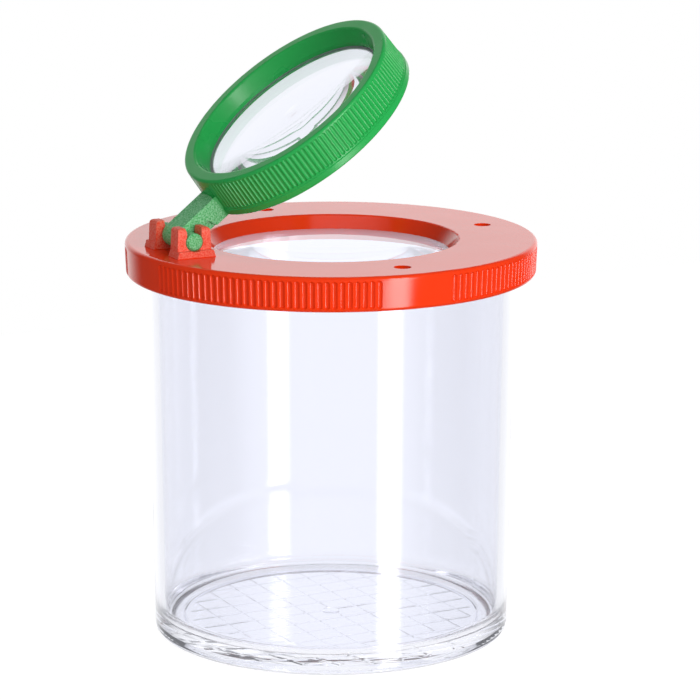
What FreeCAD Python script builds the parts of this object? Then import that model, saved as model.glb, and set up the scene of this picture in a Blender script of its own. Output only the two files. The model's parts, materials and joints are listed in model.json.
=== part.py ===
"""Bug viewer: a clear pot with a push-on lid, a lens in the lid and a magnifier hinged above it.

Millimetres, +Z up. The origin is the middle of the pot's foot, on the surface that it stands on.
The hinge of the magnifier is on the -X side of the lid. Five moulded pieces:
pot, lid, lid_lens, magnifier_frame and magnifier_lens.
"""
import FreeCAD, Part
import math
import os

V = FreeCAD.Vector
ORIGIN = V(0, 0, 0)
X_AXIS = V(1, 0, 0)
Y_AXIS = V(0, 1, 0)
Z_AXIS = V(0, 0, 1)

# Pot
pot_height = 68.4
pot_radius_top = 32.1
pot_radius_base = 31.3
pot_wall = 1.8
pot_floor = 2.3
pot_foot_recess = 0.8
pot_foot_width = 4.2
pot_outer_corner = 1.2
pot_inner_corner = 2.5
pot_rim_round = 0.4
grid_pitch = 5.0
grid_border = 1.0
grid_line_width = 0.4
grid_line_depth = 0.12
gate_mark_radius = 1.5
gate_mark_height = 0.3

# Lid
lid_radius_top = 35.95
lid_radius_bottom = 35.7
lid_rim_height = 6.0
lid_plate = 1.6
lid_skirt = 1.7
lid_edge_round = 0.7
lid_lower_round = 0.7
lid_inner_round = 0.3
lid_to_pot_clearance = 0.15
collar_wall = 1.2
collar_depth = 3.6
well_radius = 22.3
well_edge_round = 0.5
shoulder_thickness = 2.3
pocket_wall = 1.4
lug_count = 4
lug_reach = 0.45
lug_height = 0.8
lug_half_angle = 7.0

# Flutes and plain fields round the lid's rim, air holes through its plate
lid_flute_pitch_deg = 2.0
lid_flutes_per_quarter = 35
lid_flute_width = 1.04
lid_flute_depth = 0.34
lid_flute_low_margin = 0.5
lid_flute_top_margin = 0.65
hinge_field_half_deg = 12.5
air_hole_diameter = 3.0
air_hole_circle_radius = 29.4
quarter_clocking_deg = -3.1

# Lid lens
lid_lens_radius = 22.15
lid_lens_edge = 1.5
lid_lens_land = 1.5
lid_lens_sag = 1.5
lens_clearance = 0.2

# Magnifier, drawn closed with the hinge axis through its own origin and the ring towards +X
ring_foot_radius = 21.05
ring_foot_height = 1.2
ring_foot_step = 0.15
ring_top_radius = 20.65
ring_height = 7.45
ring_below_axis = 2.05
ring_bottom_round = 0.3
ring_top_round = 0.5
ring_mouth_radius = 18.3
ring_mouth_round = 0.5
ring_shoulder_height = 0.7
ring_flute_count = 148
ring_flute_width = 0.76
ring_flute_depth = 0.26
ring_flute_low_margin = 0.1
ring_flute_top_margin = 0.45
magnifier_lens_radius = 18.6
magnifier_lens_edge = 1.5
magnifier_lens_land = 1.6
magnifier_lens_sag = 1.3
magnifier_lens_seat = 4.05
magnifier_lens_hold = 1.1
arm_half_width = 2.7
arm_flange = 2.3
arm_half_thickness = 2.05
arm_web_half_width = 2.1
arm_root_length = 2.4
arm_root_slant = 0.8
arm_into_ring = 0.8

# Hinge: two open snap bearings on the lid carry the magnifier's stub axles
hinge_radius_on_lid = 28.9
hinge_axis_above_lid = 2.6
hinge_open_deg = 38.0
ring_overreach = 0.3
stub_diameter = 3.0
stub_half_span = 6.3
stub_end_chamfer = 0.3
bearing_clearance = 0.1
bearing_gap = 0.35
prong_thickness = 1.6
prong_depth = 2.9
prong_height_above_axis = 2.4
prong_lean = 0.25
prong_top_round = 0.6
prong_front_round = 0.8
ledge_depth = 0.9
ledge_height = 1.2
bearing_foot_spread = 0.5

# How far joined forms run into each other, and how far a cutter runs past the face that it cuts
join_depth = 0.5
cut_margin = 0.5

# Worked out from the sizes above
lid_top = pot_height + lid_plate
lid_bottom = lid_top - lid_rim_height
quarter = 90.0
shoulder_radius = lid_lens_radius - lid_lens_land
shoulder_z = lid_top - shoulder_thickness
pocket_radius = lid_lens_radius + lens_clearance
pocket_bottom = shoulder_z - lid_lens_edge - lug_height
hinge_x = -hinge_radius_on_lid
hinge_z = lid_top + hinge_axis_above_lid
ring_centre_x = hinge_radius_on_lid + ring_overreach
bearing_radius = stub_diameter / 2 + bearing_clearance
bearing_inner_y = arm_half_width + bearing_gap


def rounded_outline(corners):
    """Closed outline in the XZ plane through (x, z, corner radius) points, as a face."""
    edges = []
    starts = []
    ends = []
    arcs = []
    count = len(corners)
    for i in range(count):
        x, z, radius = corners[i]
        before = corners[i - 1]
        after = corners[(i + 1) % count]
        corner = V(x, 0, z)
        to_before = V(before[0] - x, 0, before[1] - z).normalize()
        to_after = V(after[0] - x, 0, after[1] - z).normalize()
        if radius == 0:
            starts.append(corner)
            ends.append(corner)
            arcs.append(None)
            continue
        half_angle = to_before.getAngle(to_after) / 2
        reach = radius / math.tan(half_angle)
        bisector = (to_before + to_after).normalize()
        centre = corner + bisector * (radius / math.sin(half_angle))
        starts.append(corner + to_before * reach)
        ends.append(corner + to_after * reach)
        arcs.append(centre - bisector * radius)
    for i in range(count):
        if arcs[i] is not None:
            edges.append(Part.Arc(starts[i], arcs[i], ends[i]).toShape())
        following = starts[(i + 1) % count]
        if ends[i].distanceToPoint(following) > 1e-6:
            edges.append(Part.makeLine(ends[i], following))
    return Part.Face(Part.Wire(edges))


def turned(corners, angle=360.0):
    """Solid of revolution about Z from a rounded outline of (radius, z, corner radius)."""
    return rounded_outline(corners).revolve(ORIGIN, Z_AXIS, angle)


def bar_along_y(corners, y_low, y_high):
    """Solid with a rounded outline in XZ, running along Y between two places."""
    face = rounded_outline(corners)
    face.translate(V(0, y_low, 0))
    return face.extrude(V(0, y_high - y_low, 0))


def at_angle(shape, degrees):
    """Copy of a shape turned about Z."""
    turned_copy = shape.copy()
    turned_copy.rotate(ORIGIN, Z_AXIS, degrees)
    return turned_copy


def flute_cutter(foot, top, width, depth, low_margin, top_margin):
    """Rod with conical ends that cuts one flute along a wall at +X, given as two (radius, z) ends."""
    rod_radius = (width * width / 4 + depth * depth) / (2 * depth)
    stand_off = rod_radius - depth
    wall_height = top[1] - foot[1]
    wall_lean = math.degrees(math.atan2(foot[0] - top[0], wall_height))
    low = low_margin - stand_off
    high = wall_height - top_margin + stand_off
    outline = Part.makePolygon([
        V(0, 0, low),
        V(rod_radius, 0, low + rod_radius),
        V(rod_radius, 0, high - rod_radius),
        V(0, 0, high),
        V(0, 0, low),
    ])
    rod = Part.Face(outline).revolve(ORIGIN, Z_AXIS, 360)
    rod.translate(V(stand_off, 0, 0))
    rod.rotate(ORIGIN, Y_AXIS, -wall_lean)
    rod.translate(V(foot[0], 0, foot[1]))
    return rod


def lens_blank(radius, edge, land, sag):
    """Biconvex lens with a flat land round it, its lower land at z = 0."""
    dome_radius = radius - land
    return Part.Face(Part.Wire([
        Part.Arc(V(0, 0, -sag), V(dome_radius * 0.5, 0, dome_drop(dome_radius, sag)),
                 V(dome_radius, 0, 0)).toShape(),
        Part.makeLine(V(dome_radius, 0, 0), V(radius, 0, 0)),
        Part.makeLine(V(radius, 0, 0), V(radius, 0, edge)),
        Part.makeLine(V(radius, 0, edge), V(dome_radius, 0, edge)),
        Part.Arc(V(dome_radius, 0, edge), V(dome_radius * 0.5, 0, edge - dome_drop(dome_radius, sag)),
                 V(0, 0, edge + sag)).toShape(),
        Part.makeLine(V(0, 0, edge + sag), V(0, 0, -sag)),
    ])).revolve(ORIGIN, Z_AXIS, 360)


def dome_drop(dome_radius, sag):
    """Height of the lower dome at half its radius, from a sphere through its rim and pole."""
    sphere = (dome_radius ** 2 + sag ** 2) / (2 * sag)
    return sphere - sag - math.sqrt(sphere ** 2 - (dome_radius * 0.5) ** 2)


def make_pot():
    """Clear tapered pot with a foot ring and a measuring grid under its floor."""
    floor_top = pot_foot_recess + pot_floor
    inner_top = pot_radius_top - pot_wall
    inner_base = pot_radius_base - pot_wall
    recess_radius = pot_radius_base - pot_outer_corner - pot_foot_width
    pot = turned([
        (0, pot_foot_recess, 0),
        (recess_radius, pot_foot_recess, 0),
        (recess_radius + pot_foot_recess / 2, 0, 0),
        (pot_radius_base, 0, pot_outer_corner),
        (pot_radius_top, pot_height, pot_rim_round),
        (inner_top, pot_height, pot_rim_round),
        (inner_base, floor_top, pot_inner_corner),
        (0, floor_top, 0),
    ])
    grid_radius = recess_radius - grid_border
    lines = []
    steps = int(grid_radius / grid_pitch)
    for step in range(-steps, steps + 1):
        offset = step * grid_pitch
        half_length = math.sqrt(grid_radius ** 2 - offset ** 2)
        line = Part.makeBox(2 * half_length, grid_line_width, grid_line_depth,
                            V(-half_length, offset - grid_line_width / 2, pot_foot_recess))
        lines.append(line)
        lines.append(at_angle(line, quarter))
    pot = pot.cut(lines)
    gate = Part.makeCylinder(gate_mark_radius, gate_mark_height + grid_line_depth,
                             V(0, 0, pot_foot_recess - gate_mark_height))
    return pot.fuse(gate).removeSplitter()


def make_lid_body():
    """Turned lid: plate, skirt, collar that hugs the pot, and the well that holds the lens."""
    plate_under = pot_height
    skirt_inner = lid_radius_bottom - lid_skirt
    collar_inner = pot_radius_top + lid_to_pot_clearance
    collar_bottom = plate_under - collar_depth
    pocket_outer = pocket_radius + pocket_wall
    return turned([
        (well_radius, lid_top, well_edge_round),
        (lid_radius_top, lid_top, lid_edge_round),
        (lid_radius_bottom, lid_bottom, lid_lower_round),
        (skirt_inner, lid_bottom, lid_inner_round),
        (skirt_inner, plate_under, lid_inner_round),
        (collar_inner + collar_wall, plate_under, lid_inner_round),
        (collar_inner + collar_wall, collar_bottom, 0),
        (collar_inner, collar_bottom, 0),
        (collar_inner, plate_under, 0),
        (pocket_outer, plate_under, lid_inner_round),
        (pocket_outer, pocket_bottom, 0),
        (pocket_radius, pocket_bottom, 0),
        (pocket_radius, shoulder_z, 0),
        (shoulder_radius, shoulder_z, 0),
    ])


def lid_flutes():
    """Flute cutters of the four fluted quarters; the plain field at the hinge is the widest."""
    cutter = flute_cutter((lid_radius_bottom, lid_bottom), (lid_radius_top, lid_top), lid_flute_width,
                          lid_flute_depth, lid_flute_low_margin, lid_flute_top_margin)
    first = quarter / 2 - (lid_flutes_per_quarter - 1) / 2 * lid_flute_pitch_deg
    cutters = []
    for side in range(4):
        for step in range(lid_flutes_per_quarter):
            angle = side * quarter + first + step * lid_flute_pitch_deg
            if abs(angle - 180) > hinge_field_half_deg:
                cutters.append(at_angle(cutter, quarter_clocking_deg + angle))
    return cutters


def air_holes():
    """Drills through the plate, in the middle of each plain field but the hinge's."""
    drill = Part.makeCylinder(air_hole_diameter / 2, lid_plate + 2 * cut_margin,
                              V(air_hole_circle_radius, 0, pot_height - cut_margin))
    return [at_angle(drill, quarter_clocking_deg + side * quarter) for side in (-1, 0, 1)]


def lens_lugs():
    """Small wedges in the pocket that the lens snaps past and then rests on."""
    lens_under = shoulder_z - lid_lens_edge
    lug = turned([
        (pocket_radius + lug_reach, lens_under, 0),
        (pocket_radius + lug_reach, lens_under - lug_height, 0),
        (pocket_radius, lens_under - lug_height, 0),
        (pocket_radius - lug_reach, lens_under, 0),
    ], 2 * lug_half_angle)
    return [at_angle(lug, quarter * i - lug_half_angle) for i in range(lug_count)]


def prong_side_form(inner_y, outer_y, prong_top):
    """Block with the round-shouldered outline that the prongs have when seen along X."""
    reach = bearing_radius + prong_thickness + cut_margin
    form = bar_along_y([
        (inner_y, lid_top - join_depth, 0),
        (outer_y, lid_top - join_depth, 0),
        (outer_y, prong_top, prong_front_round),
        (inner_y, prong_top, 0),
    ], -reach, reach)
    form.rotate(ORIGIN, Z_AXIS, 90)
    form.translate(V(hinge_x, 0, 0))
    return form


def bearing_ear(side):
    """One snap bearing on the lid: a base with a ledge and two prongs over an open slot."""
    inner_y = bearing_inner_y
    outer_y = inner_y + prong_depth
    prong_reach = bearing_radius + prong_thickness
    prong_top = hinge_z + prong_height_above_axis
    ledge_top = lid_top + ledge_height
    base = bar_along_y([
        (hinge_x - prong_reach - bearing_foot_spread, lid_top - join_depth, 0),
        (hinge_x + prong_reach + bearing_foot_spread, lid_top - join_depth, 0),
        (hinge_x + prong_reach, ledge_top, 0),
        (hinge_x - prong_reach, ledge_top, 0),
    ], inner_y, outer_y + ledge_depth)
    prongs = bar_along_y([
        (hinge_x - prong_reach, lid_top, 0),
        (hinge_x + prong_reach, lid_top, 0),
        (hinge_x + prong_reach - prong_lean, prong_top, prong_top_round),
        (hinge_x - prong_reach + prong_lean, prong_top, prong_top_round),
    ], inner_y, outer_y)
    prongs = prongs.common(prong_side_form(inner_y, outer_y, prong_top))
    bore_start = inner_y - cut_margin
    bore_end = outer_y + ledge_depth + cut_margin
    bore = Part.makeCylinder(bearing_radius, bore_end - bore_start, V(hinge_x, bore_start, hinge_z), Y_AXIS)
    throat = bearing_radius - prong_lean
    mouth = bar_along_y([
        (hinge_x - throat, hinge_z, 0),
        (hinge_x + throat, hinge_z, 0),
        (hinge_x + throat, hinge_z + bearing_radius, 0),
        (hinge_x + bearing_radius, prong_top + cut_margin, 0),
        (hinge_x - bearing_radius, prong_top + cut_margin, 0),
        (hinge_x - throat, hinge_z + bearing_radius, 0),
    ], bore_start, bore_end)
    ear = base.fuse(prongs).cut([bore, mouth]).removeSplitter()
    if side < 0:
        return ear.mirror(ORIGIN, Y_AXIS)
    return ear


def make_lid():
    """Lid with flutes, air holes, lens lugs and the two bearings of the hinge."""
    body = make_lid_body().cut(lid_flutes() + air_holes())
    return body.fuse(lens_lugs() + [bearing_ear(1), bearing_ear(-1)]).removeSplitter()


def make_lid_lens():
    """Lens seated up against the shoulder of the lid's well."""
    lens = lens_blank(lid_lens_radius, lid_lens_edge, lid_lens_land, lid_lens_sag)
    lens.translate(V(0, 0, shoulder_z - lid_lens_edge))
    return lens


def open_magnifier(shape):
    """Swing a shape drawn closed up to its rest angle and carry it to the hinge."""
    shape.rotate(ORIGIN, Y_AXIS, -hinge_open_deg)
    shape.translate(V(hinge_x, 0, hinge_z))
    return shape


def make_ring():
    """Fluted ring of the magnifier, turned about its own middle at x = 0, its foot at z = 0."""
    pocket = magnifier_lens_radius + lens_clearance
    shoulder = magnifier_lens_radius - magnifier_lens_hold
    seat = magnifier_lens_seat
    wall_foot = (ring_foot_radius - ring_foot_step, ring_foot_height + ring_foot_step)
    wall_top = (ring_top_radius, ring_height)
    ring = turned([
        (pocket, 0, 0),
        (ring_foot_radius, 0, ring_bottom_round),
        (ring_foot_radius, ring_foot_height, 0),
        (wall_foot[0], wall_foot[1], 0),
        (wall_top[0], wall_top[1], ring_top_round),
        (ring_mouth_radius, ring_height, ring_mouth_round),
        (shoulder, seat + ring_shoulder_height, 0),
        (shoulder, seat, 0),
        (pocket, seat, 0),
    ])
    cutter = flute_cutter(wall_foot, wall_top, ring_flute_width, ring_flute_depth,
                          ring_flute_low_margin, ring_flute_top_margin)
    arm_clear_deg = math.degrees(math.asin((arm_half_width + ring_flute_width) / ring_foot_radius))
    pitch = 360.0 / ring_flute_count
    cutters = []
    for step in range(ring_flute_count):
        angle = (step + 0.5) * pitch
        if abs(angle - 180) > arm_clear_deg:
            cutters.append(at_angle(cutter, angle))
    return ring.cut(cutters)


def magnifier_lugs():
    """Small wedges in the ring that the magnifier's lens snaps past and then rests on."""
    pocket = magnifier_lens_radius + lens_clearance
    lens_under = magnifier_lens_seat - magnifier_lens_edge
    lug = turned([
        (pocket + lug_reach, lens_under, 0),
        (pocket + lug_reach, lens_under - lug_height, 0),
        (pocket, lens_under - lug_height, 0),
        (pocket - lug_reach, lens_under, 0),
    ], 2 * lug_half_angle)
    return [at_angle(lug, quarter * i - lug_half_angle) for i in range(lug_count)]


def make_arm():
    """Arm from the hinge to the ring: round hub, top flange, web below and a full root block."""
    ring_face = ring_centre_x - ring_foot_radius
    into_ring = ring_face + arm_into_ring
    top = arm_half_thickness
    hub = Part.makeCylinder(arm_half_thickness, 2 * arm_half_width, V(0, -arm_half_width, 0), Y_AXIS)
    flange = bar_along_y([
        (0, top - arm_flange, 0),
        (into_ring, top - arm_flange, 0),
        (into_ring, top, 0),
        (0, top, 0),
    ], -arm_half_width, arm_half_width)
    web = bar_along_y([
        (0, -top, 0),
        (into_ring, -top, 0),
        (into_ring, top, 0),
        (0, top, 0),
    ], -arm_web_half_width, arm_web_half_width)
    root = bar_along_y([
        (ring_face - arm_root_length, -top, 0),
        (into_ring, -top, 0),
        (into_ring, top, 0),
        (ring_face - arm_root_length - arm_root_slant, top - arm_flange, 0),
    ], -arm_half_width, arm_half_width)
    return hub.fuse([flange, web, root])


def make_stub():
    """Axle stub through the arm, with chamfered ends."""
    stub = Part.makeCylinder(stub_diameter / 2, 2 * stub_half_span, V(0, -stub_half_span, 0), Y_AXIS)
    ends = [edge for edge in stub.Edges if isinstance(edge.Curve, Part.Circle)]
    return stub.makeChamfer(stub_end_chamfer, ends)


def make_magnifier_frame():
    """Ring, arm and axle stubs of the magnifier as one moulding."""
    ring = make_ring().fuse(magnifier_lugs())
    ring.translate(V(ring_centre_x, 0, -ring_below_axis))
    frame = ring.fuse([make_arm(), make_stub()]).removeSplitter()
    return open_magnifier(frame)


def make_magnifier_lens():
    """Lens seated in the lower part of the magnifier's ring."""
    lens = lens_blank(magnifier_lens_radius, magnifier_lens_edge, magnifier_lens_land, magnifier_lens_sag)
    lens.translate(V(ring_centre_x, 0, magnifier_lens_seat - magnifier_lens_edge - ring_below_axis))
    return open_magnifier(lens)


parts = {
    "pot": make_pot,
    "lid": make_lid,
    "lid_lens": make_lid_lens,
    "magnifier_frame": make_magnifier_frame,
    "magnifier_lens": make_magnifier_lens,
}

os.makedirs("parts", exist_ok=True)
for name, make in parts.items():
    shape = make()
    solid = shape.Solids[0] if len(shape.Solids) == 1 else shape
    solid.exportStep("parts/" + name + ".step")
    box = solid.BoundBox
    print(name, "solids", len(shape.Solids), "valid", solid.isValid(), "volume", round(solid.Volume, 1),
          "box", [round(v, 2) for v in (box.XMin, box.YMin, box.ZMin, box.XMax, box.YMax, box.ZMax)])
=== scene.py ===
"""Looks of the bug viewer: clear pot, orange lid with its lens, green magnifier on the lid's hinge."""
import bpy
import json
import math
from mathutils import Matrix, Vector


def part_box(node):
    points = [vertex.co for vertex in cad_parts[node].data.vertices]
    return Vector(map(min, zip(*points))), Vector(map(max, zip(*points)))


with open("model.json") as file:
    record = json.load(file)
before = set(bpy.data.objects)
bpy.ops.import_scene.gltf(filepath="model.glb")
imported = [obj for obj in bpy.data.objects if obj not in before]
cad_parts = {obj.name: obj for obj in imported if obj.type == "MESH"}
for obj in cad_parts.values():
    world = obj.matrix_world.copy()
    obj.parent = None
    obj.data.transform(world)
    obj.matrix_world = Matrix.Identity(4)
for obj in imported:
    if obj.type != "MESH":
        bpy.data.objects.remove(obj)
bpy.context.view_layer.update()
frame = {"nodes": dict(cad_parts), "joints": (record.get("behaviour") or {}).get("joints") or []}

MM = 0.001

# Camera of the photograph: where it stands, how far it looks down, its field and its framing
CAMERA_AZIMUTH = math.radians(-27.0)
CAMERA_ELEVATION = math.radians(12.6)
CAMERA_DISTANCE = 600 * MM
CAMERA_TARGET_HEIGHT = 49.85 * MM
CAMERA_LENS = 175.8
CAMERA_SENSOR = 36.0
CAMERA_SHIFT_X = 19 / 700
CAMERA_CLIP = (10 * MM, 20.0)

# The room: white to the eye. Through clear plastic it is white below, behind and in front, and
# greyer at the sides. Gloss mirrors a white backdrop in a dim room. The fill light is plain.
ROOM_FILL = 0.42
ROOM_DIM = 0.08
ROOM_SIDES = 0.15
ROOM_THROUGH = 1.09
SIDES_EDGE = (math.cos(math.radians(80)), math.cos(math.radians(45)))
TABLE_WHITENESS = 1.25
BACKDROP_GLOW = 1.15
BACKDROP_EDGE = (math.cos(math.radians(50)), math.cos(math.radians(20)))

# The white table top, lit a little by itself so that it meets the white room without an edge
FLOOR_GLOW = 0.90
FLOOR_SHADE = "#898989"
FLOOR_DROP = 0.05 * MM
FLOOR_HALF_SIDE = 250 * MM

# Lamps: how far off they stand and the height that they aim at. The strip fades towards its long
# edges, between these two shares of its width off its middle, and is dimmer through plastic.
LAMP_DISTANCE = 1.2
LAMP_AIM_HEIGHT = 40 * MM
STRIP_FADE = (0.15, 0.5)
STRIP_THROUGH = 0.2

# Opaque parts: length and height of the slow ripple, how far it moves the roughness, and the
# values between which nearly all of its noise lies
POLYSTYRENE_IOR = 1.59
RIPPLE_LENGTH = 7 * MM
RIPPLE_HEIGHT = 0.03 * MM
ROUGHNESS_SPREAD = 0.2
NOISE_SPREAD = (0.3, 0.7)

# The hinge, round which the moulds were spark-eroded instead of polished
HINGE = next(joint["pos_m"] for joint in frame["joints"] if joint["name"] == "magnifier_hinge")
HINGE_ABOVE_LID = 2.6 * MM
GRAIN_REACH = 8.6 * MM
GRAIN_START = 0.1 * MM
GRAIN_ROUGHNESS = 0.5
CRATER_WIDTH = 0.3 * MM
CRATER_DEPTH = 0.06 * MM
# Noise values between which the crater tops turn to the painted sheen colour
CRATER_EDGE = (0.35, 0.65)

# Clear parts: length of the slow ripple, its height in the pot, and the tint of the unbent view.
# The lenses are moulded in a truer mould and have none.
ACRYLIC_IOR = 1.49
CLEAR_RIPPLE_LENGTH = 12 * MM
POT_RIPPLE_HEIGHT = 0.01 * MM
UNBENT_TINT = "#f8f9fe"

# The magnifier's lens: where its clear dome turns into its matt land, and the land's own look
DOME_RADIUS = 16.9 * MM
LAND_EDGE = (-0.1 * MM, 0.3 * MM)
LAND_COLOUR = "#aaadb4"
LAND_ROUGHNESS = 0.5
LAND_CLEARNESS = 0.55

# Light that is caught in the pot's thick foot leaves it only after many turns
FOOT_TURNS = 32


def linear(code):
    """Linear colour with alpha 1 from an sRGB hex code such as "#f0a010"."""
    values = [int(code[i:i + 2], 16) / 255 for i in (1, 3, 5)]
    return tuple(v / 12.92 if v <= 0.04045 else ((v + 0.055) / 1.055) ** 2.4 for v in values) + (1.0,)


def add_node(tree, kind, settings=None, links=None):
    """Add a node with its settings; links maps inputs to the outputs that feed them.

    An input goes by its name, or by its place where several share a name.
    """
    node = tree.nodes.new(kind)
    for name, value in (settings or {}).items():
        if isinstance(name, int) or name in node.inputs:
            node.inputs[name].default_value = value
        else:
            setattr(node, name, value)
    for name, output in (links or {}).items():
        tree.links.new(output, node.inputs[name])
    return node


def new_material(name):
    """Empty node material."""
    material = bpy.data.materials.new(name)
    material.use_nodes = True
    material.node_tree.nodes.clear()
    return material


def near_hinge(tree, place):
    """1 on the hinge's ears, stubs and arm, 0 on the lid's plate and the magnifier's ring."""
    away = add_node(tree, "ShaderNodeVectorMath", {"operation": "DISTANCE", 1: HINGE}, {0: place})
    inside = add_node(tree, "ShaderNodeMath", {"operation": "LESS_THAN", 1: GRAIN_REACH},
                      {0: away.outputs["Value"]})
    height = add_node(tree, "ShaderNodeSeparateXYZ", None, {"Vector": place})
    lid_top = HINGE[2] - HINGE_ABOVE_LID
    above = add_node(tree, "ShaderNodeMath", {"operation": "GREATER_THAN", 1: lid_top + GRAIN_START},
                     {0: height.outputs["Z"]})
    both = add_node(tree, "ShaderNodeMath", {"operation": "MULTIPLY"},
                    {0: inside.outputs["Value"], 1: above.outputs["Value"]})
    return both.outputs["Value"]


def moulded_plastic(name, colour, grain_sheen_colour, roughness):
    """Opaque moulded polystyrene with a slow ripple, and a grain at the hinge with a painted sheen.

    The ripple, some 7 mm long, is where the plastic shrank on cooling and bends the reflections.
    The hinge's parts come from a spark-eroded part of the mould. Its craters are 0.05 mm wide, too
    fine to show, so they are drawn at 0.3 mm; the light they scatter is painted: their tops turn paler.
    """
    material = new_material(name)
    tree = material.node_tree
    place = add_node(tree, "ShaderNodeTexCoord").outputs["Object"]
    grainy = near_hinge(tree, place)
    crater = add_node(tree, "ShaderNodeTexNoise", {"Scale": 1 / CRATER_WIDTH, "Detail": 2.0},
                      {"Vector": place})
    ripple = add_node(tree, "ShaderNodeTexNoise", {"Scale": 1 / RIPPLE_LENGTH, "Detail": 1.0},
                      {"Vector": place})
    grain = add_node(tree, "ShaderNodeBump", {"Distance": CRATER_DEPTH},
                     {"Height": crater.outputs["Fac"], "Strength": grainy})
    bent = add_node(tree, "ShaderNodeBump", {"Strength": 1.0, "Distance": RIPPLE_HEIGHT},
                    {"Height": ripple.outputs["Fac"], "Normal": grain.outputs["Normal"]})
    gloss = add_node(tree, "ShaderNodeMapRange",
                     {"From Min": NOISE_SPREAD[0], "From Max": NOISE_SPREAD[1],
                      "To Min": roughness * (1 - ROUGHNESS_SPREAD),
                      "To Max": roughness * (1 + ROUGHNESS_SPREAD)}, {"Value": ripple.outputs["Fac"]})
    matt = add_node(tree, "ShaderNodeMix", {"data_type": "FLOAT", 3: GRAIN_ROUGHNESS},
                    {0: grainy, 2: gloss.outputs["Result"]})
    peak = add_node(tree, "ShaderNodeMapRange",
                    {"From Min": CRATER_EDGE[0], "From Max": CRATER_EDGE[1]},
                    {"Value": crater.outputs["Fac"]})
    # Painted sheen: the crater tops at the hinge take the paler second colour, for the light they scatter
    painted_sheen = add_node(tree, "ShaderNodeMath", {"operation": "MULTIPLY"},
                     {0: grainy, 1: peak.outputs["Result"]})
    tint = add_node(tree, "ShaderNodeMix",
                    {"data_type": "RGBA", 6: linear(colour), 7: linear(grain_sheen_colour)},
                    {0: painted_sheen.outputs["Value"]})
    surface = add_node(tree, "ShaderNodeBsdfPrincipled", {"IOR": POLYSTYRENE_IOR},
                       {"Base Color": tint.outputs[2], "Normal": bent.outputs["Normal"],
                        "Roughness": matt.outputs[0]})
    add_node(tree, "ShaderNodeOutputMaterial", None, {"Surface": surface.outputs["BSDF"]})
    return material


def pass_unbent(tree, look, straight):
    """Let a share of the view through unbent, as a weaker lens or a thinner wall would.

    What enters unbent is still the eye's own ray inside, and always leaves unbent too.
    """
    path = add_node(tree, "ShaderNodeLightPath")
    inside = add_node(tree, "ShaderNodeNewGeometry").outputs["Backfacing"]
    passing = add_node(tree, "ShaderNodeMapRange", {"To Min": straight, "To Max": 1.0}, {"Value": inside})
    share = add_node(tree, "ShaderNodeMath", {"operation": "MULTIPLY"},
                     {0: passing.outputs["Result"], 1: path.outputs["Is Camera Ray"]})
    unbent = add_node(tree, "ShaderNodeBsdfTransparent", {"Color": linear(UNBENT_TINT)})
    mix = add_node(tree, "ShaderNodeMixShader", None,
                   {0: share.outputs["Value"], 1: look, 2: unbent.outputs["BSDF"]})
    return mix.outputs["Shader"]


def frost_land(tree, look, place, centre, ior):
    """Fine matt grey outside a moulded lens's dome, which scatters what is behind it."""
    away = add_node(tree, "ShaderNodeVectorMath", {"operation": "DISTANCE", 1: centre}, {0: place})
    land = add_node(tree, "ShaderNodeMapRange",
                    {"From Min": DOME_RADIUS + LAND_EDGE[0], "From Max": DOME_RADIUS + LAND_EDGE[1]},
                    {"Value": away.outputs["Value"]})
    matt = add_node(tree, "ShaderNodeBsdfPrincipled",
                    {"Base Color": linear(LAND_COLOUR), "Roughness": LAND_ROUGHNESS, "IOR": ior,
                     "Transmission Weight": LAND_CLEARNESS})
    mix = add_node(tree, "ShaderNodeMixShader", None,
                   {0: land.outputs["Result"], 1: look, 2: matt.outputs["BSDF"]})
    return mix.outputs["Shader"]


def clear_plastic(name, colour, shadow_colour, ior, straight, ripple_height=0.0, land_centre=None):
    """Clear polished plastic, which casts a pale shadow without bending its light.

    straight is the share of the view that passes unbent. With a land_centre it has a lens's land.
    """
    material = new_material(name)
    tree = material.node_tree
    place = add_node(tree, "ShaderNodeTexCoord").outputs["Object"]
    ripple = add_node(tree, "ShaderNodeTexNoise", {"Scale": 1 / CLEAR_RIPPLE_LENGTH, "Detail": 1.0},
                      {"Vector": place})
    bent = add_node(tree, "ShaderNodeBump", {"Strength": 1.0, "Distance": ripple_height},
                    {"Height": ripple.outputs["Fac"]})
    surface = add_node(tree, "ShaderNodeBsdfPrincipled",
                       {"Base Color": linear(colour), "Roughness": 0.0, "IOR": ior,
                        "Transmission Weight": 1.0}, {"Normal": bent.outputs["Normal"]})
    look = pass_unbent(tree, surface.outputs["BSDF"], straight)
    if land_centre is not None:
        look = frost_land(tree, look, place, land_centre, ior)
    path = add_node(tree, "ShaderNodeLightPath")
    shadow = add_node(tree, "ShaderNodeBsdfTransparent", {"Color": linear(shadow_colour)})
    mix = add_node(tree, "ShaderNodeMixShader", None,
                   {0: path.outputs["Is Shadow Ray"], 1: look, 2: shadow.outputs["BSDF"]})
    add_node(tree, "ShaderNodeOutputMaterial", None, {"Surface": mix.outputs["Shader"]})
    return material


def middle(node):
    """Middle of a CAD node's box, where a lens has its centre."""
    low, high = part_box(node)
    return tuple((a + b) / 2 for a, b in zip(low, high))


def dress(node, material):
    """Give a CAD node its finished material."""
    mesh = frame["nodes"][node].data
    mesh.materials.clear()
    mesh.materials.append(material)


# Gloss polystyrene, orange red: saturated where it is lit, and pale where it mirrors the room at
# a low angle. Its second colour is a painted sheen on the hinge's grain.
orange = moulded_plastic("orange_moulded_polystyrene", "#f83b0c", "#ff7c64", roughness=0.12)
# Satin polystyrene, mid green: a matter mould, so that reflections are soft and the ribs read as
# thin light lines. Its second colour is a painted sheen on the hinge's grain.
green = moulded_plastic("green_moulded_polystyrene", "#24b052", "#8ed8a2", roughness=0.30)
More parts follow.
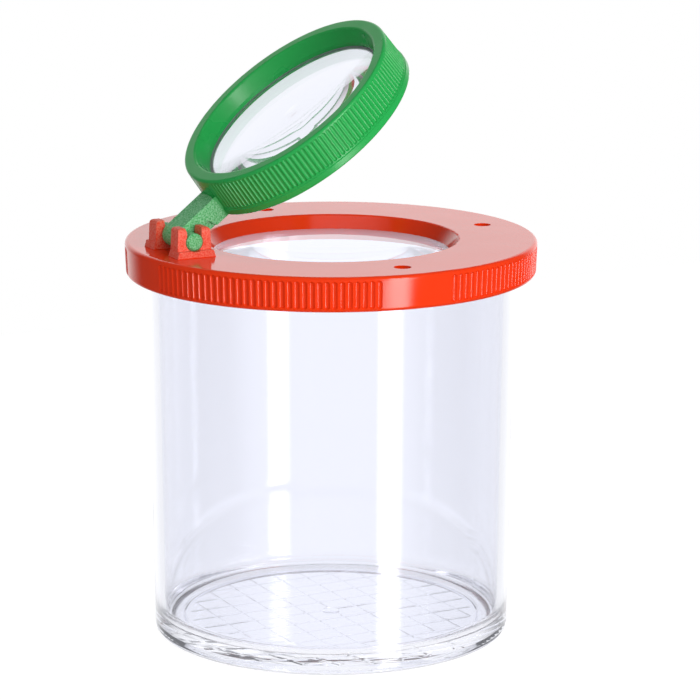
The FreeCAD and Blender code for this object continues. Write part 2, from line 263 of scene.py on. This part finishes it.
# Crystal polystyrene: water clear with a faint blue cast, bright strips where it mirrors the lamp
pot_clear = clear_plastic("crystal_polystyrene", "#f7f8fe", "#eef0f4", POLYSTYRENE_IOR,
                          straight=0.2, ripple_height=POT_RIPPLE_HEIGHT)
# Acrylic lenses: polished and clear, with a matt grey land on the magnifier's, where its mould
# was not polished
magnifier_clear = clear_plastic("acrylic_magnifier_lens", "#f4f6ff", "#d2d5da", ACRYLIC_IOR,
                                straight=0.05, land_centre=middle("magnifier_lens"))
lid_clear = clear_plastic("acrylic_lid_lens", "#f4f6ff", "#d2d5da", ACRYLIC_IOR, straight=0.4)

dress("pot", pot_clear)
dress("lid", orange)
dress("lid_lens", lid_clear)
dress("magnifier_frame", green)
dress("magnifier_lens", magnifier_clear)


def make_camera():
    """Camera at the photograph's place; its small shift gives the photograph's framing."""
    back = Vector((math.sin(CAMERA_AZIMUTH) * math.cos(CAMERA_ELEVATION),
                   -math.cos(CAMERA_AZIMUTH) * math.cos(CAMERA_ELEVATION),
                   math.sin(CAMERA_ELEVATION)))
    data = bpy.data.cameras.new("camera")
    data.lens = CAMERA_LENS
    data.sensor_width = CAMERA_SENSOR
    data.shift_x = CAMERA_SHIFT_X
    data.clip_start, data.clip_end = CAMERA_CLIP
    camera = bpy.data.objects.new("camera", data)
    camera.location = Vector((0, 0, CAMERA_TARGET_HEIGHT)) + back * CAMERA_DISTANCE
    camera.rotation_mode = "QUATERNION"
    camera.rotation_quaternion = (-back).to_track_quat("-Z", "Y")
    bpy.context.collection.objects.link(camera)
    bpy.context.scene.camera = camera


def make_floor():
    """Table top under matt white paper, which keeps a light shadow, just below the pot's foot.

    It is small, so that the low end of the strip lamp still reaches the lid. The eye sees it only
    directly: in gloss and through bent light the white room takes its place.
    """
    side = FLOOR_HALF_SIDE
    mesh = bpy.data.meshes.new("floor")
    corners = [(-side, -side), (side, -side), (side, side), (-side, side)]
    mesh.from_pydata([(x, y, -FLOOR_DROP) for x, y in corners], [], [(0, 1, 2, 3)])
    floor = bpy.data.objects.new("floor", mesh)
    bpy.context.collection.objects.link(floor)
    material = new_material("white_paper_sweep")
    tree = material.node_tree
    path = add_node(tree, "ShaderNodeLightPath")
    paper = add_node(tree, "ShaderNodeBsdfDiffuse", {"Color": linear("#f4f4f4")})
    glow = add_node(tree, "ShaderNodeEmission", {"Color": linear("#ffffff"), "Strength": FLOOR_GLOW})
    shaded = add_node(tree, "ShaderNodeBsdfDiffuse", {"Color": linear(FLOOR_SHADE)})
    seen = add_node(tree, "ShaderNodeAddShader", None,
                    {0: glow.outputs["Emission"], 1: shaded.outputs["BSDF"]})
    mix = add_node(tree, "ShaderNodeMixShader", None,
                   {0: path.outputs["Is Camera Ray"], 1: paper.outputs["BSDF"], 2: seen.outputs["Shader"]})
    add_node(tree, "ShaderNodeOutputMaterial", None, {"Surface": mix.outputs["Shader"]})
    mesh.materials.append(material)
    floor.visible_glossy = False
    floor.visible_transmission = False


def make_world():
    """White room for the eye's rays, a lit backdrop in a dim room for gloss, and plain fill light."""
    world = bpy.data.worlds.new("white_room")
    bpy.context.scene.world = world
    world.use_nodes = True
    tree = world.node_tree
    tree.nodes.clear()
    place = add_node(tree, "ShaderNodeTexCoord").outputs["Generated"]
    backdrop_way = (-math.sin(CAMERA_AZIMUTH), math.cos(CAMERA_AZIMUTH), 0)
    toward = add_node(tree, "ShaderNodeVectorMath", {"operation": "DOT_PRODUCT", 1: backdrop_way},
                      {0: place})
    along = add_node(tree, "ShaderNodeMath", {"operation": "ABSOLUTE"}, {0: toward.outputs["Value"]})
    height = add_node(tree, "ShaderNodeSeparateXYZ", None, {"Vector": place})
    downward = add_node(tree, "ShaderNodeMath", {"operation": "MULTIPLY", 1: -TABLE_WHITENESS},
                        {0: height.outputs["Z"]})
    whiter = add_node(tree, "ShaderNodeMath", {"operation": "MAXIMUM"},
                      {0: along.outputs["Value"], 1: downward.outputs["Value"]})
    through = add_node(tree, "ShaderNodeMapRange",
                       {"interpolation_type": "SMOOTHSTEP",
                        "From Min": SIDES_EDGE[0], "From Max": SIDES_EDGE[1],
                        "To Min": ROOM_SIDES, "To Max": ROOM_THROUGH}, {"Value": whiter.outputs["Value"]})
    backdrop = add_node(tree, "ShaderNodeMapRange",
                        {"interpolation_type": "SMOOTHSTEP",
                         "From Min": BACKDROP_EDGE[0], "From Max": BACKDROP_EDGE[1],
                         "To Min": ROOM_DIM, "To Max": BACKDROP_GLOW}, {"Value": toward.outputs["Value"]})
    path = add_node(tree, "ShaderNodeLightPath")
    mirrored = add_node(tree, "ShaderNodeMix", {"data_type": "FLOAT", 2: ROOM_FILL},
                        {0: path.outputs["Is Glossy Ray"], 3: backdrop.outputs["Result"]})
    bent = add_node(tree, "ShaderNodeMix", {"data_type": "FLOAT"},
                    {0: path.outputs["Is Transmission Ray"], 2: mirrored.outputs[0],
                     3: through.outputs["Result"]})
    direct = add_node(tree, "ShaderNodeMix", {"data_type": "FLOAT", 3: 1.0},
                      {0: path.outputs["Is Camera Ray"], 2: bent.outputs[0]})
    room = add_node(tree, "ShaderNodeBackground", {"Color": linear("#ffffff")},
                    {"Strength": direct.outputs[0]})
    add_node(tree, "ShaderNodeOutputWorld", None, {"Surface": room.outputs["Background"]})


def shade_strip(data):
    """Fade a strip lamp towards its long edges, and dim it where the eye meets it through plastic.

    In the photograph that second image of the lamp comes by way of the table and is fainter.
    """
    data.use_nodes = True
    tree = data.node_tree
    tree.nodes.clear()
    across = add_node(tree, "ShaderNodeSeparateXYZ", None,
                      {"Vector": add_node(tree, "ShaderNodeNewGeometry").outputs["Parametric"]})
    from_middle = add_node(tree, "ShaderNodeMath", {"operation": "SUBTRACT", 1: 0.5},
                           {0: across.outputs["X"]})
    off = add_node(tree, "ShaderNodeMath", {"operation": "ABSOLUTE"}, {0: from_middle.outputs["Value"]})
    fade = add_node(tree, "ShaderNodeMapRange",
                    {"interpolation_type": "SMOOTHSTEP",
                     "From Min": STRIP_FADE[0], "From Max": STRIP_FADE[1],
                     "To Min": 1.0, "To Max": 0.0}, {"Value": off.outputs["Value"]})
    path = add_node(tree, "ShaderNodeLightPath")
    dimmed = add_node(tree, "ShaderNodeMapRange", {"To Min": 1.0, "To Max": STRIP_THROUGH},
                      {"Value": path.outputs["Is Transmission Ray"]})
    strength = add_node(tree, "ShaderNodeMath", {"operation": "MULTIPLY"},
                        {0: fade.outputs["Result"], 1: dimmed.outputs["Result"]})
    glow = add_node(tree, "ShaderNodeEmission", None, {"Strength": strength.outputs["Value"]})
    add_node(tree, "ShaderNodeOutputLight", None, {"Surface": glow.outputs["Emission"]})


def make_softbox(name, azimuth, elevation, size, radiance, strip=False):
    """Soft rectangular lamp at a direction from the object; a strip lamp also shows in gloss."""
    turn = math.radians(azimuth)
    rise = math.radians(elevation)
    away = Vector((math.sin(turn) * math.cos(rise), -math.cos(turn) * math.cos(rise), math.sin(rise)))
    data = bpy.data.lights.new(name, "AREA")
    data.shape = "RECTANGLE"
    data.size, data.size_y = size
    data.energy = radiance * math.pi * size[0] * size[1]
    if strip:
        shade_strip(data)
    lamp = bpy.data.objects.new(name, data)
    lamp.location = Vector((0, 0, LAMP_AIM_HEIGHT)) + away * LAMP_DISTANCE
    lamp.rotation_mode = "QUATERNION"
    lamp.rotation_quaternion = (-away).to_track_quat("-Z", "Y")
    lamp.visible_camera = False
    lamp.visible_transmission = strip
    lamp.visible_glossy = strip
    bpy.context.collection.objects.link(lamp)


make_camera()
make_floor()
make_world()
make_softbox("strip_right", azimuth=10.5, elevation=0, size=(0.42, 1.4), radiance=6.6, strip=True)
make_softbox("high_softbox", azimuth=15, elevation=40, size=(0.8, 0.8), radiance=1.5)
make_softbox("front_softbox", azimuth=-12, elevation=10, size=(0.8, 0.8), radiance=1.2)

bpy.context.scene.cycles.max_bounces = FOOT_TURNS
bpy.context.scene.cycles.glossy_bounces = FOOT_TURNS
bpy.context.scene.cycles.transmission_bounces = FOOT_TURNS

bpy.context.scene.view_settings.view_transform = "Standard"
